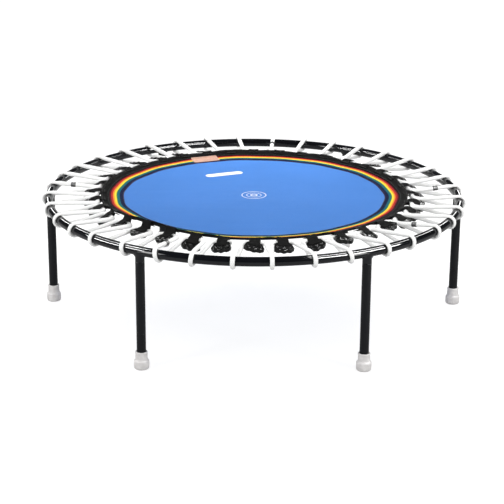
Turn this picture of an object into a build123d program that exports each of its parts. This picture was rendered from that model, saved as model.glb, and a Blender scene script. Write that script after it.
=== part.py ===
from build123d import *
from math import acos, asin, atan2, cos, degrees, hypot, radians, sin, tan
import os

# Mini trampoline: a round steel tube ring on six screw-in legs, with a woven mat hung inside it on an
# elastic rope. Millimetres, +Z up. The origin is on the floor, under the middle of the ring.

# Driving dimensions
RING_OUTER_D = 1200.0
RING_TUBE_D = 25.0
TUBE_WALL = 1.5
RING_Z = 328.0
LEG_COUNT = 6
MAT_FIELD_R = 375.0
RIBBON_R = 416.0
MAT_R = 443.0
WRAP_COUNT = 36
ROPE_D = 12.0
# The rope is five lengths, joined on the upper strand of these wraps, counted from the first one.
ROPE_JOINS = [0, 8, 17, 24, 32]

# Clearances
CONTACT_GAP = 0.05
SLIDE_GAP = 0.05
SOFT_GAP = 0.3

# Ring and legs
RING_R = (RING_OUTER_D - RING_TUBE_D) / 2
TUBE_R = RING_TUBE_D / 2
TUBE_BORE_R = TUBE_R - TUBE_WALL
SOCKET_L = 15.5
SOCKET_SADDLE = 3.0
SOCKET_BOTTOM_Z = RING_Z - TUBE_R - SOCKET_L
SOCKET_TOP_Z = RING_Z - TUBE_R + SOCKET_SADDLE
WELD_R = TUBE_R + 4.0
WELD_BOTTOM_Z = RING_Z - TUBE_R - 6.0
STUD_R = 6.0
STUD_CHAMFER = 1.0
NUT_SETBACK = 0.5
NUT_HEIGHT = 14.0
NUT_BOTTOM_Z = SOCKET_BOTTOM_Z + NUT_SETBACK
PLUG_HEIGHT = 20.0

# Feet
FOOT_BASE_R = 20.5
FOOT_BASE_H = 25.0
FOOT_SLOPE_H = 4.0
FOOT_CHAMFER = 1.5
FOOT_COLLAR_R = 16.8
FOOT_HEIGHT = 49.0
FOOT_FLOOR = 8.0
WASHER_H = 1.5

# Mat: a flat field, inside a rim that turns up to the lacing
MAT_FIELD_Z = RING_Z - 1.5
MAT_RISE = 6.0
MAT_T = 2.0
RIBBON_T = 0.8
BORDER_T = 1.5
BORDER_W = 27.0
FOLD_R = MAT_R - BORDER_T
LABEL_W = 84.0
LABEL_H = 46.0
LABEL_T = 0.6
LABEL_R = 403.5
LABEL_ANGLE = 112.3

# Cleats and webbing loops
LACE_Z = MAT_FIELD_Z + MAT_RISE
ROPE_R = ROPE_D / 2
RUN_R = MAT_R + ROPE_R + 3.0
RUN_HALF = 29.0
CORNER_R = 13.0
CLEAT_OUTER_R = 492.0
CLEAT_NOSE = 12.0
CLEAT_T = 12.0
RIB_PITCH = 12.0
RIB_L = 8.0
RIB_W = 4.0
RIB_H = 2.5
SLOT_R = 473.0
SLOT_W = 4.0
SLOT_L = 32.0
STRAP_W = 30.0
STRAP_T = 1.6
STRAP_START_R = 429.0
STRAP_FLAT_R = MAT_R - 1.0
STRAP_TOP_R = RUN_R - 3.0

# Rope wraps and joins
WRAP_R = TUBE_R + SOFT_GAP + ROPE_R
WRAP_BEND_R = 0.985 * WRAP_R
WRAP_SHIFT = 5.0
WRAP_PITCH = 360 / WRAP_COUNT
WRAP_PHASE = WRAP_PITCH / 2
JOIN_SHARE = 0.5
ROPE_END_GAP = 0.4
CRIMP_WALL = 1.0
CRIMP_L = 14.0


def mat_z(r):
    """Height of the mat's middle surface at radius r."""
    return MAT_FIELD_Z + MAT_RISE * max(0.0, (r - MAT_FIELD_R) / (MAT_R - MAT_FIELD_R))


def polar(r, angle, z=0.0):
    """Point at radius r and angle in degrees."""
    return Vector(r * cos(radians(angle)), r * sin(radians(angle)), z)


def leg_angle(n):
    return 360 / LEG_COUNT * n


def at_leg(shape, n):
    """Moves a shape built on the Z axis to leg n."""
    return Pos(*polar(RING_R, leg_angle(n))) * Rot(0, 0, leg_angle(n)) * shape


def upright(radius, bottom, top):
    """Cylinder on the Z axis between two heights."""
    return Pos(0, 0, bottom) * Cylinder(radius, top - bottom, align=(Align.CENTER, Align.CENTER, Align.MIN))


def turned(points):
    """Solid of revolution about Z from (radius, height) points."""
    profile = make_face(Polyline(*[(r, 0, z) for r, z in points], close=True))
    return revolve(profile, Axis.Z)


def ring_round(radius):
    """Solid ring of the given section radius, on the frame ring's centre line."""
    return Pos(0, 0, RING_Z) * Torus(RING_R, radius)


def ring_tube():
    return ring_round(TUBE_R) - ring_round(TUBE_BORE_R)


def leg_socket(n):
    """Stub under the ring, with its weld bead, cut to the ring's curve."""
    stub = turned([
        (TUBE_BORE_R, SOCKET_BOTTOM_Z),
        (TUBE_R, SOCKET_BOTTOM_Z),
        (TUBE_R, WELD_BOTTOM_Z),
        (WELD_R, SOCKET_TOP_Z),
        (TUBE_BORE_R, SOCKET_TOP_Z),
    ])
    return at_leg(stub, n) - ring_round(TUBE_R + CONTACT_GAP)


def socket_nut(n):
    """Threaded insert inside the stub. The thread is drawn as a plain bore."""
    body = upright(TUBE_BORE_R - CONTACT_GAP, NUT_BOTTOM_Z, NUT_BOTTOM_Z + NUT_HEIGHT)
    bore = upright(STUD_R + SLIDE_GAP, NUT_BOTTOM_Z - 1, NUT_BOTTOM_Z + NUT_HEIGHT + 1)
    return at_leg(body - bore, n) - ring_round(TUBE_R + CONTACT_GAP)


def leg_stud(n):
    """Plug in the top of the leg, with the stud that screws into the insert."""
    leg_top = SOCKET_BOTTOM_Z - CONTACT_GAP
    plug = upright(TUBE_BORE_R - CONTACT_GAP, leg_top - PLUG_HEIGHT, leg_top)
    stud = upright(STUD_R, leg_top - 1, NUT_BOTTOM_Z + NUT_HEIGHT)
    stud = chamfer(stud.edges().group_by(Axis.Z)[-1], STUD_CHAMFER)
    return at_leg(plug + stud, n)


def leg_tube(n):
    bottom = FOOT_FLOOR + WASHER_H + 2 * CONTACT_GAP
    top = SOCKET_BOTTOM_Z - CONTACT_GAP
    tube = upright(TUBE_R, bottom, top) - upright(TUBE_BORE_R, bottom - 1, top + 1)
    return at_leg(tube, n)


def foot(n):
    """Rubber ferrule: a wide base below a narrower collar."""
    inner = TUBE_R + CONTACT_GAP
    cup = turned([
        (0, 0),
        (FOOT_BASE_R - FOOT_CHAMFER, 0),
        (FOOT_BASE_R, FOOT_CHAMFER),
        (FOOT_BASE_R, FOOT_BASE_H),
        (FOOT_COLLAR_R, FOOT_BASE_H + FOOT_SLOPE_H),
        (FOOT_COLLAR_R, FOOT_HEIGHT - FOOT_CHAMFER),
        (FOOT_COLLAR_R - FOOT_CHAMFER, FOOT_HEIGHT),
        (inner, FOOT_HEIGHT),
        (inner, FOOT_FLOOR),
        (0, FOOT_FLOOR),
    ])
    return at_leg(cup, n)


def foot_washer(n):
    """Steel disc that keeps the tube's end from cutting through the foot."""
    bottom = FOOT_FLOOR + CONTACT_GAP
    return at_leg(upright(TUBE_R - CONTACT_GAP, bottom, bottom + WASHER_H), n)


def layer(radii, under, over):
    """Round layer that follows the mat through the radii, from under to over its middle surface."""
    low = [(r, mat_z(r) + under) for r in radii]
    high = [(r, mat_z(r) + over) for r in reversed(radii)]
    return turned(low + high)


def mat_sheet():
    return layer([0, MAT_FIELD_R, FOLD_R - SOFT_GAP], -MAT_T / 2, MAT_T / 2)


def rainbow_ribbon():
    low = MAT_T / 2 + CONTACT_GAP
    return layer([MAT_FIELD_R, RIBBON_R - SOFT_GAP], low, low + RIBBON_T)


def mat_border():
    """Webbing folded over the mat's edge, one leg above it and one below."""
    low = MAT_T / 2 + CONTACT_GAP
    high = low + BORDER_T
    r_in = MAT_R - BORDER_W
    return turned([
        (r_in, mat_z(r_in) + low),
        (FOLD_R, mat_z(FOLD_R) + low),
        (FOLD_R, mat_z(FOLD_R) - low),
        (r_in, mat_z(r_in) - low),
        (r_in, mat_z(r_in) - high),
        (MAT_R, mat_z(MAT_R) - high),
        (MAT_R, mat_z(MAT_R) + high),
        (r_in, mat_z(r_in) + high),
    ])


def sewn_label():
    """Blank patch sewn across the ribbon."""
    bottom = mat_z(LABEL_R) + MAT_T / 2 + BORDER_T + 2 * SOFT_GAP
    rim_slope = degrees(atan2(MAT_RISE, MAT_R - MAT_FIELD_R))
    patch = Box(LABEL_H, LABEL_W, LABEL_T, align=(Align.CENTER, Align.CENTER, Align.MIN))
    return Rot(0, 0, LABEL_ANGLE) * Pos(LABEL_R, 0, bottom) * Rot(0, -rim_slope, 0) * patch


def cleat():
    """Moulded cleat at angle 0: the rope runs round its inner side, a webbing loop holds it by a slot."""
    inner_x = RUN_R + ROPE_R + SOFT_GAP
    half = RUN_HALF - ROPE_R - SOFT_GAP
    corner = CORNER_R - ROPE_R - SOFT_GAP
    shoulder_x = CLEAT_OUTER_R - CLEAT_NOSE
    outline = Polyline(
        (shoulder_x, half),
        (inner_x, half),
        (inner_x, -half),
        (shoulder_x, -half),
    )
    nose = ThreePointArc((shoulder_x, -half), (CLEAT_OUTER_R, 0), (shoulder_x, half))
    plate = extrude(make_face(outline + nose), CLEAT_T / 2, both=True)
    plate = fillet(plate.edges().filter_by(Axis.Z).group_by(Axis.X)[0], corner)
    slot = Pos(SLOT_R, 0, 0) * Box(SLOT_W, SLOT_L, 2 * CLEAT_T)
    plate = plate - slot
    for side in (-1, 0, 1):
        rib = Pos(SLOT_R + RIB_L, side * RIB_PITCH, 0) * Box(RIB_L, RIB_W, CLEAT_T + 2 * RIB_H)
        plate = plate + rib
    return Pos(0, 0, LACE_Z) * plate


def webbing_loop():
    """Closed strap loop at angle 0: over the rope, down the cleat's slot and back below the rope."""
    on_mat = MAT_T / 2 + BORDER_T + 2 * SOFT_GAP + STRAP_T / 2
    on_rope = max(ROPE_R, CLEAT_T / 2) + SOFT_GAP + STRAP_T / 2

    def leg(side):
        return [
            Vector(STRAP_START_R, 0, mat_z(STRAP_START_R) + side * on_mat),
            Vector(STRAP_FLAT_R, 0, mat_z(STRAP_FLAT_R) + side * on_mat),
            Vector(STRAP_TOP_R, 0, LACE_Z + side * on_rope),
            Vector(SLOT_R, 0, LACE_Z + side * on_rope),
        ]

    path = leg(1) + leg(-1)[::-1]
    centre = Wire([Line(a, b) for a, b in zip(path, path[1:])])
    half = Vector(0, 0, STRAP_T / 2)
    band = sweep(Line(path[0] - half, path[0] + half), centre, transition=Transition.RIGHT)
    return extrude(band.face(), STRAP_W / 2, dir=(0, 1, 0), both=True)


def round_the_ring(shape):
    """One copy of a shape between every two rope wraps, as separate solids."""
    copies = []
    for k in range(WRAP_COUNT):
        copies.append(Rot(0, 0, k * WRAP_PITCH) * shape)
    return Compound(copies)


def cleat_corner(side):
    """Where the run on a cleat turns into a strand, for the wrap at angle 0.

    Side -1 is the cleat behind the wrap, whose strand goes over the tube, and 1 is the cleat ahead.
    """
    along = side * WRAP_PITCH / 2
    return Vector(RUN_R, -side * RUN_HALF, LACE_Z).rotate(Axis.Z, along)


def tube_corner(side):
    """Where the strand's line meets the wrap's outer vertical tangent."""
    corner = cleat_corner(side)
    reach = RING_R - corner.X
    fall = RING_Z - corner.Z
    slope = atan2(fall, reach) - side * asin(WRAP_R / hypot(reach, fall))
    x = RING_R + WRAP_R
    return Vector(x, side * WRAP_SHIFT, corner.Z + tan(slope) * (x - corner.X))


def rounded_path(corners, bends):
    """Wire through the corners, with an arc of the given radius at each inner corner."""
    edges = []
    start = corners[0]
    for before, corner, after, bend in zip(corners, corners[1:], corners[2:], bends):
        way_in = (corner - before).normalized()
        way_out = (after - corner).normalized()
        half_turn = acos(way_in.dot(way_out)) / 2
        arc_start = corner - way_in * (bend * tan(half_turn))
        arc_end = corner + way_out * (bend * tan(half_turn))
        middle = corner + (way_out - way_in).normalized() * (bend / cos(half_turn) - bend)
        edges.append(Line(start, arc_start))
        edges.append(ThreePointArc(arc_start, middle, arc_end))
        start = arc_end
    edges.append(Line(start, corners[-1]))
    return Wire(edges)


def join_point():
    """Middle of the upper strand of the wrap at angle 0, and its direction outwards."""
    start = cleat_corner(-1)
    strand = tube_corner(-1) - start
    return start + strand * JOIN_SHARE, strand.normalized()


def elastic_rope(first, last):
    """One length of rope, from the upper strand of wrap first to the upper strand of wrap last."""
    middle, outward = join_point()
    corners = []
    bends = []
    for k in range(first, last + 1):
        stops = [
            (cleat_corner(-1), CORNER_R),
            (tube_corner(-1), WRAP_BEND_R),
            (tube_corner(1), WRAP_BEND_R),
            (cleat_corner(1), CORNER_R),
        ]
        if k == first:
            stops = [(middle + outward * (ROPE_END_GAP / 2), 0)] + stops[1:]
        if k == last:
            stops = stops[:1] + [(middle - outward * (ROPE_END_GAP / 2), 0)]
        for point, bend in stops:
            corners.append(point.rotate(Axis.Z, WRAP_PHASE + k * WRAP_PITCH))
            bends.append(bend)
    path = rounded_path(corners, bends[1:-1])
    return sweep(Plane(origin=path @ 0, z_dir=path % 0) * Circle(ROPE_R), path)


def rope_crimps():
    """Metal sleeve over each join in the rope."""
    middle, outward = join_point()
    bore = ROPE_R + CONTACT_GAP
    sleeve = Cylinder(bore + CRIMP_WALL, CRIMP_L) - Cylinder(bore, CRIMP_L + 2)
    sleeve = Plane(origin=middle, z_dir=outward) * sleeve
    return Compound([Rot(0, 0, WRAP_PHASE + k * WRAP_PITCH) * sleeve for k in ROPE_JOINS])


def write(name, shape):
    shape.label = name
    export_step(shape, f"parts/{name}.step")


os.makedirs("parts", exist_ok=True)
write("ring_tube", ring_tube())
for leg in range(LEG_COUNT):
    write(f"leg_socket_{leg + 1}", leg_socket(leg))
    write(f"socket_nut_{leg + 1}", socket_nut(leg))
    write(f"leg_tube_{leg + 1}", leg_tube(leg))
    write(f"leg_stud_{leg + 1}", leg_stud(leg))
    write(f"foot_{leg + 1}", foot(leg))
    write(f"foot_washer_{leg + 1}", foot_washer(leg))
write("mat_sheet", mat_sheet())
write("rainbow_ribbon", rainbow_ribbon())
write("mat_border", mat_border())
write("sewn_label", sewn_label())
write("rope_cleats", round_the_ring(cleat()))
write("webbing_loops", round_the_ring(webbing_loop()))
rope_ends = ROPE_JOINS + [WRAP_COUNT]
for length in range(len(ROPE_JOINS)):
    write(f"elastic_rope_{length + 1}", elastic_rope(rope_ends[length], rope_ends[length + 1]))
write("rope_crimps", rope_crimps())
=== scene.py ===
from math import asin, atan2, ceil, copysign, cos, degrees, dist, hypot, pi, radians, sin, sqrt, tan
from random import seed, uniform

import bmesh
import bpy
import numpy as np
from mathutils import Matrix, Vector


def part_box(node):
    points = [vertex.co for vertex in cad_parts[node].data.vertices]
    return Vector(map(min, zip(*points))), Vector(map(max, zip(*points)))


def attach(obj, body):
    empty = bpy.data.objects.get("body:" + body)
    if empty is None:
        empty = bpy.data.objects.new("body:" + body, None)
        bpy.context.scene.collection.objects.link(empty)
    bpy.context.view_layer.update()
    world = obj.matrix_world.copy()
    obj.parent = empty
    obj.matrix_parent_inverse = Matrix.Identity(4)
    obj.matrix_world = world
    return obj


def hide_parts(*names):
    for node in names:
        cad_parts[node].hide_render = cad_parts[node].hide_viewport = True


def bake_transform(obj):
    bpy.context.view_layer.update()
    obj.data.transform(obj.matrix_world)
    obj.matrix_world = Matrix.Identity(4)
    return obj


# The looks of a mini trampoline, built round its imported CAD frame. Metres, +Z up.
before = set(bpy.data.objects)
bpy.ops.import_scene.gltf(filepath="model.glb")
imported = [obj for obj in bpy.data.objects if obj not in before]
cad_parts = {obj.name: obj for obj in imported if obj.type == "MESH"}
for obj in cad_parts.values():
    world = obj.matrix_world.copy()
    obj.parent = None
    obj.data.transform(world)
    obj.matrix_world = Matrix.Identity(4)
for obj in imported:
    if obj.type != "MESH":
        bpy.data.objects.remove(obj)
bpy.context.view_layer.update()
seed(11)


# ---- sizes, from the frame

def middle(node):
    low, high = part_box(node)
    return (low + high) / 2


MM = 0.001
UP = Vector((0, 0, 1))
LEGS = range(1, 7)
RING_LOW, RING_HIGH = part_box("ring_tube")
TUBE_R = (RING_HIGH.z - RING_LOW.z) / 2
RING_R = RING_HIGH.x - TUBE_R
RING_Z = (RING_LOW.z + RING_HIGH.z) / 2
TUBE_BORE_R = TUBE_R - 1.5 * MM
SOCKET_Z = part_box("leg_socket_1")[0].z
LEG_LOW, LEG_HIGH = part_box("leg_tube_1")
STUD_LOW, STUD_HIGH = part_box("leg_stud_1")
FOOT_LOW, FOOT_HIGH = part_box("foot_1")
FOOT_R = (FOOT_HIGH.y - FOOT_LOW.y) / 2

MAT_T = 2 * MM
RIBBON_T = 0.8 * MM
BORDER_T = 1.5 * MM
# Heights above the mat's middle surface.
RIBBON_TOP = MAT_T / 2 + 0.05 * MM + RIBBON_T
BORDER_TOP = MAT_T / 2 + 0.08 * MM + BORDER_T
STRAP_LOW = MAT_T / 2 + BORDER_T + 0.5 * MM
RIM_W = 68 * MM
BORDER_W = 27 * MM
MAT_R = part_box("mat_border")[1].x
FIELD_R = MAT_R - RIM_W
BORDER_IN_R = MAT_R - BORDER_W
FIELD_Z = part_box("mat_sheet")[0].z + MAT_T / 2
LACE_Z = middle("rope_cleats").z
RISE = LACE_Z - FIELD_Z
RIM_ROUNDING = 7 * MM
LABEL_SPOT = middle("sewn_label")
LABEL_HALF = (19 * MM, 42 * MM)
# Pitch of the mat's weave.
WEAVE = 1.5 * MM

# Loops, cleats and wraps of the lacing.
STATIONS = 36
PITCH = 2 * pi / STATIONS
ROPE_R = 6 * MM
RUN_R = MAT_R + ROPE_R + 3 * MM
RUN_HALF = 29 * MM
CORNER_R = 13 * MM
ROPE_PRESS = 0.3
WRAP_R = TUBE_R + ROPE_R * (1 - ROPE_PRESS) + 0.3 * MM
WRAP_BEND_R = 0.985 * WRAP_R
ROPE_JOINS = [0, 8, 17, 24, 32]
CLEAT_IN_R = RUN_R + ROPE_R + 0.3 * MM
CLEAT_OUT_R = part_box("rope_cleats")[1].x
CLEAT_HALF = RUN_HALF - ROPE_R - 0.3 * MM
CLEAT_T = 12 * MM
CLEAT_FLARE = 4.6 * MM
SLOT_R = 473 * MM
STRAP_W = 30 * MM
STRAP_T = 1.6 * MM


# ---- mesh building

class Shape:
    """Gathers grids of points into one mesh, with a UV map in metres."""

    def __init__(self):
        self.points = []
        self.faces = []
        self.uvs = []

    def grid(self, points, wrap=(False, False), along=None, across=None, caps=False):
        """Quads over points [row][column]. Along and across are the UV at each row and column."""
        points = np.array(points)
        rows, cols = points.shape[:2]
        first = len(self.points)
        self.points.extend(map(tuple, points.reshape(-1, 3)))
        along = np.arange(rows + 1) * MM if along is None else along
        across = np.arange(cols + 1) * MM if across is None else across
        for i in range(rows if wrap[0] else rows - 1):
            below = first + i * cols
            above = first + (i + 1) % rows * cols
            for j in range(cols if wrap[1] else cols - 1):
                k = (j + 1) % cols
                self.faces.append((below + j, below + k, above + k, above + j))
                near, far, left, right = along[i], along[i + 1], across[j], across[j + 1]
                self.uvs.extend([(near, left), (near, right), (far, right), (far, left)])
        if caps:
            self.face(range(first, first + cols))
            self.face(range(first + (rows - 1) * cols, first + rows * cols))

    def block(self, points, faces):
        """Adds plain faces over a list of points."""
        first = len(self.points)
        self.points.extend(map(tuple, points))
        for face in faces:
            self.face([first + i for i in face])

    def face(self, corners):
        """Adds one face without a UV map."""
        self.faces.append(tuple(corners))
        self.uvs.extend([(0.0, 0.0)] * len(corners))

    def build(self, name, material):
        mesh = bpy.data.meshes.new(name)
        mesh.from_pydata(self.points, [], self.faces)
        layer = mesh.uv_layers.new(name="UVMap")
        layer.data.foreach_set("uv", np.array(self.uvs, np.float32).ravel())
        mesh.materials.append(material)
        turn_faces_out(mesh)
        mesh.shade_smooth()
        mesh.set_sharp_from_angle(angle=radians(48))
        return link(name, mesh)


def turn_faces_out(mesh, merge=0.0):
    """Makes all faces point outwards, once points closer than merge are joined."""
    work = bmesh.new()
    work.from_mesh(mesh)
    if merge:
        bmesh.ops.remove_doubles(work, verts=work.verts, dist=merge)
    bmesh.ops.recalc_face_normals(work, faces=work.faces)
    work.to_mesh(mesh)
    work.free()


def link(name, data):
    """A new object in the scene."""
    made = bpy.data.objects.new(name, data)
    bpy.context.scene.collection.objects.link(made)
    return made


def hand_over(shape, name, material, body, slot, *nodes):
    """Builds a piece and rides it on its body, in place of its CAD nodes."""
    piece = shape.build(name, material)
    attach(piece, body)
    if nodes:
        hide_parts(*nodes)
    return piece


def steps(start, stop, count):
    return np.linspace(start, stop, count)


def circle(count):
    """Evenly spaced angles round a full turn."""
    return steps(0, 2 * pi, count + 1)[:-1]


def clamp(value, top=1.0):
    return max(0.0, min(top, value))


def headings(path):
    """Direction of a path at each of its points."""
    return [(b - a).normalized() for a, b in zip(path[:1] + path, path[1:] + path[-1:])]


def path_lengths(path):
    """Length along a path at each point, with the last one twice, as grid() wants it."""
    return np.cumsum([0] + [(b - a).length for a, b in zip(path, path[1:])] + [0])


def lathe(profile, columns, centre=(0, 0, 0), closed=False):
    """A shape turned about the Z axis through centre, from (radius, height) points."""
    rows = [[(r * cos(a), r * sin(a), z) for a in circle(columns)] for r, z in profile]
    lengths = [0] + [dist(a, b) for a, b in zip(profile, profile[1:])] + [MM]
    across = steps(0, 2 * pi * max(r for r, z in profile), columns + 1)
    shape = Shape()
    points = np.array(rows) + np.array(centre)
    shape.grid(points, (closed, True), np.cumsum(lengths), across, caps=not closed)
    return shape


def soften(profile, radius):
    """Rounds each inner corner of an open (radius, height) profile."""
    count = 4
    done = [profile[0]]
    for before, corner, after in zip(profile, profile[1:], profile[2:]):
        a, b, c = Vector(before), Vector(corner), Vector(after)
        cut = min(radius, (b - a).length * 0.45, (c - b).length * 0.45)
        start = b + (a - b).normalized() * cut
        end = b + (c - b).normalized() * cut
        for i in range(count + 1):
            t = i / count
            done.append(tuple(start * (1 - t) ** 2 + b * 2 * t * (1 - t) + end * t ** 2))
    done.append(profile[-1])
    return done


def turned(place, *turns):
    """A matrix turned about its own axes, by (angle, axis) pairs."""
    for angle, axis in turns:
        place = place @ Matrix.Rotation(angle, 4, axis)
    return place


def at_leg(n):
    """Middle of leg n, on the floor."""
    angle = (n - 1) * pi / 3
    return Vector((RING_R * cos(angle), RING_R * sin(angle), 0))


# ---- materials

class Look:
    """A node material, and short ways to add nodes to it."""

    def __init__(self, name):
        self.material = bpy.data.materials.new(name)
        self.material.use_nodes = True
        self.tree = self.material.node_tree
        self.shader = self.tree.nodes["Principled BSDF"]

    def node(self, kind, inputs=None, **settings):
        made = self.tree.nodes.new("ShaderNode" + kind)
        for key, value in settings.items():
            setattr(made, key, value)
        for key, value in (inputs or {}).items():
            self.feed(made.inputs[key], value)
        return made

    def feed(self, socket, value):
        if isinstance(value, bpy.types.NodeSocket):
            self.tree.links.new(value, socket)
        else:
            socket.default_value = value

    def done(self, base, rough, normal, **others):
        """Feeds the shader and returns the finished material."""
        for key, value in dict(others, Base_Color=base, Roughness=rough, Normal=normal).items():
            self.feed(self.shader.inputs[key.replace("_", " ")], value)
        return self.material

    def math(self, operation, a, b=0.0, c=0.0):
        return self.node("Math", {0: a, 1: b, 2: c}, operation=operation).outputs[0]

    def times(self, a, b):
        return self.math("MULTIPLY", a, b)

    def place(self, kind="Object"):
        return self.node("TexCoord").outputs[kind]

    def axes(self, vector):
        return self.node("SeparateXYZ", {0: vector}).outputs

    def cloth_axes(self):
        """Lengths along and across a band of cloth or rope, in metres, from its UV map."""
        return self.axes(self.place("UV"))[:2]

    def noise(self, scale, detail, rough=0.5, vector=None):
        inputs = {"Vector": vector or self.place(), "Scale": scale, "Detail": detail, "Roughness": rough}
        made = self.node("TexNoise", inputs)
        return made.outputs[0]

    def spread(self, value, low, high, from_low=0.3, from_high=0.7):
        """Maps a value from one range to another, clamped."""
        made = self.node("MapRange", {0: value, 1: from_low, 2: from_high, 3: low, 4: high})
        return made.outputs[0]

    def mix(self, share, a, b):
        made = self.node("Mix", data_type="RGBA")
        self.feed(made.inputs[0], share)
        self.feed(made.inputs[6], a)
        self.feed(made.inputs[7], b)
        return made.outputs[2]

    def mottle(self, scale, detail, a, b, rough=0.5):
        """Two colours in noisy patches."""
        return self.mix(self.spread(self.noise(scale, detail, rough), 0, 1), a, b)

    def stripes(self, value, stops):
        """Plain bands of colour: each stop is where a band starts, and its colour."""
        made = self.node("ValToRGB", {0: value})
        made.color_ramp.interpolation = "CONSTANT"
        while len(made.color_ramp.elements) < len(stops):
            made.color_ramp.elements.new(0.5)
        for element, (spot, colour) in zip(made.color_ramp.elements, stops):
            element.position = spot
            element.color = colour
        return made.outputs[0]

    def wave(self, value, pitch):
        """Sine from 0 to 1 that repeats each pitch along a value."""
        turns = self.times(value, 2 * pi / pitch)
        return self.math("MULTIPLY_ADD", self.math("SINE", turns), 0.5, 0.5)

    def bump(self, height, distance, strength, under=None):
        inputs = {"Height": height, "Distance": distance, "Strength": strength}
        if under is not None:
            inputs["Normal"] = under
        return self.node("Bump", inputs).outputs[0]


def grey(level, tint=(1, 1, 1)):
    return (*(level * part for part in tint), 1)


def paint_look(name, rough, shine, peel_strength):
    """Powder coat: near black with a blue cast, orange peel and faint rubbed patches."""
    look = Look(name)
    level, tint = 0.004, (0.8, 0.92, 1.35)
    base = look.mottle(9, 4, grey(level * 0.8, tint), grey(level * 1.3, tint))
    scuff = look.spread(look.noise(160, 6, 0.7), 0, 0.16, 0.66, 0.78)
    base = look.mix(scuff, base, grey(level * 5))
    peel = look.bump(look.noise(420, 2), 0.00012, peel_strength)
    fine = look.bump(look.noise(2600, 1), 0.00003, peel_strength, peel)
    return look.done(
        base,
        look.spread(look.noise(60, 5), rough * 0.85, rough * 1.25),
        fine,
        Specular_IOR_Level=shine,
    )


def steel_look():
    """Zinc-plated steel: mottled, with fine pits."""
    look = Look("zinc_steel")
    base = look.mottle(120, 5, grey(0.42, (1, 1, 0.95)), grey(0.68), 0.65)
    marks = look.noise(900, 3, 0.6)
    return look.done(base, look.spread(marks, 0.24, 0.46), look.bump(marks, 0.00005, 0.4), Metallic=1.0)


def crimp_look():
    look = Look("crimp_metal")
    return look.done(
        look.mottle(200, 4, grey(0.05), grey(0.11)),
        look.spread(look.noise(700, 3), 0.32, 0.55),
        look.bump(look.noise(800, 4), 0.00008, 0.5),
        Metallic=0.85,
    )


def rubber_look():
    """Pale rubber: slightly uneven, with patchy grey where it meets the floor."""
    look = Look("pale_rubber")
    height = look.axes(look.place())[2]
    base = look.mottle(70, 5, grey(0.56, (1, 0.965, 0.955)), grey(0.72, (1, 0.975, 0.965)))
    near_floor = look.spread(height, 1, 0, 0.0, 14 * MM)
    # Patchy warm grey, darker towards the bottom, within 14 mm of the floor.
    low_patches = look.times(near_floor, look.spread(look.noise(260, 6, 0.7), 0, 0.7, 0.4, 0.7))
    base = look.mix(low_patches, base, grey(0.24, (1, 0.97, 0.92)))
    return look.done(
        base,
        look.spread(look.noise(150, 4), 0.5, 0.7),
        look.bump(look.noise(1500, 3), 0.00006, 0.5),
        Subsurface_Weight=0.05,
        Subsurface_Radius=(0.004, 0.004, 0.004),
    )


def weave(look, a, b, pitch):
    """Height of a plain weave, from two lengths: threads that pass over and under each other."""
    side_a = look.math("SUBTRACT", look.wave(a, 2 * pitch), 0.5)
    side_b = look.math("SUBTRACT", look.wave(b, 2 * pitch), 0.5)
    over = look.math("GREATER_THAN", look.times(side_a, side_b), 0.0)
    warp = look.times(look.wave(a, pitch), over)
    weft = look.times(look.wave(b, pitch), look.math("SUBTRACT", 1.0, over))
    return look.math("ADD", warp, weft)


def mat_look():
    """Woven blue mat: fine weave, broad tone changes, and faint rubbing in the middle."""
    look = Look("mat_weave")
    spot = look.place()
    x, y = look.axes(spot)[:2]
    cloth = weave(look, x, y, WEAVE)
    stretched = look.node("Mapping", {"Vector": spot, "Scale": (4, 90, 1)})
    streaks = look.noise(1.0, 4, 0.6, stretched.outputs[0])
    base = look.mottle(2.2, 3, (0.05, 0.175, 0.51, 1), (0.06, 0.2, 0.58, 1), 0.55)
    base = look.mix(look.spread(streaks, 0, 0.1), base, (0.1, 0.28, 0.68, 1))
    base = look.mix(look.times(cloth, 0.12), base, (0.13, 0.31, 0.7, 1))
    distance = look.math("SQRT", look.math("ADD", look.times(x, x), look.times(y, y)))
    near = look.spread(distance, 0.1, 0, 0.05, 0.3)
    rubbed = look.times(near, look.spread(look.noise(30, 6, 0.7), 0, 1))
    base = look.mix(rubbed, base, (0.14, 0.3, 0.68, 1))
    rolls = look.bump(look.noise(6, 2), 0.0012, 0.25)
    return look.done(
        base,
        look.spread(cloth, 0.46, 0.36, 0, 1),
        look.bump(cloth, 0.00025, 0.5, rolls),
        Specular_IOR_Level=0.015,
    )


def ribbon_look(width):
    """Ribbon woven in parallel stripes, from navy inside to dark red outside."""
    look = Look("rainbow_weave")
    along, across = look.cloth_axes()
    ragged = look.times(look.math("SUBTRACT", look.noise(240, 3), 0.5), 0.9 * MM)
    share = look.math("DIVIDE", look.math("ADD", across, ragged), width)
    bands = [
        (0.00, (0.04, 0.003, 0.03, 1)), (0.06, (0.001, 0.006, 0.045, 1)),
        (0.29, (0.003, 0.12, 0.17, 1)), (0.44, (0.02, 0.22, 0.06, 1)),
        (0.51, (0.9, 0.66, 0.03, 1)), (0.65, (0.88, 0.24, 0.02, 1)),
        (0.75, (0.48, 0.016, 0.012, 1)), (0.89, (0.09, 0.001, 0.008, 1)),
    ]
    base = look.stripes(share, bands)
    ribs = look.wave(along, 1.1 * MM)
    threads = look.wave(across, 0.8 * MM)
    base = look.mix(look.times(ribs, 0.15), base, grey(0.01))
    base = look.mix(look.spread(look.noise(50, 4), 0, 0.02), base, grey(0.4))
    return look.done(
        base,
        look.spread(threads, 0.5, 0.7, 0, 1),
        look.bump(look.times(ribs, threads), 0.0002, 0.6),
        Specular_IOR_Level=0.02,
    )


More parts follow.
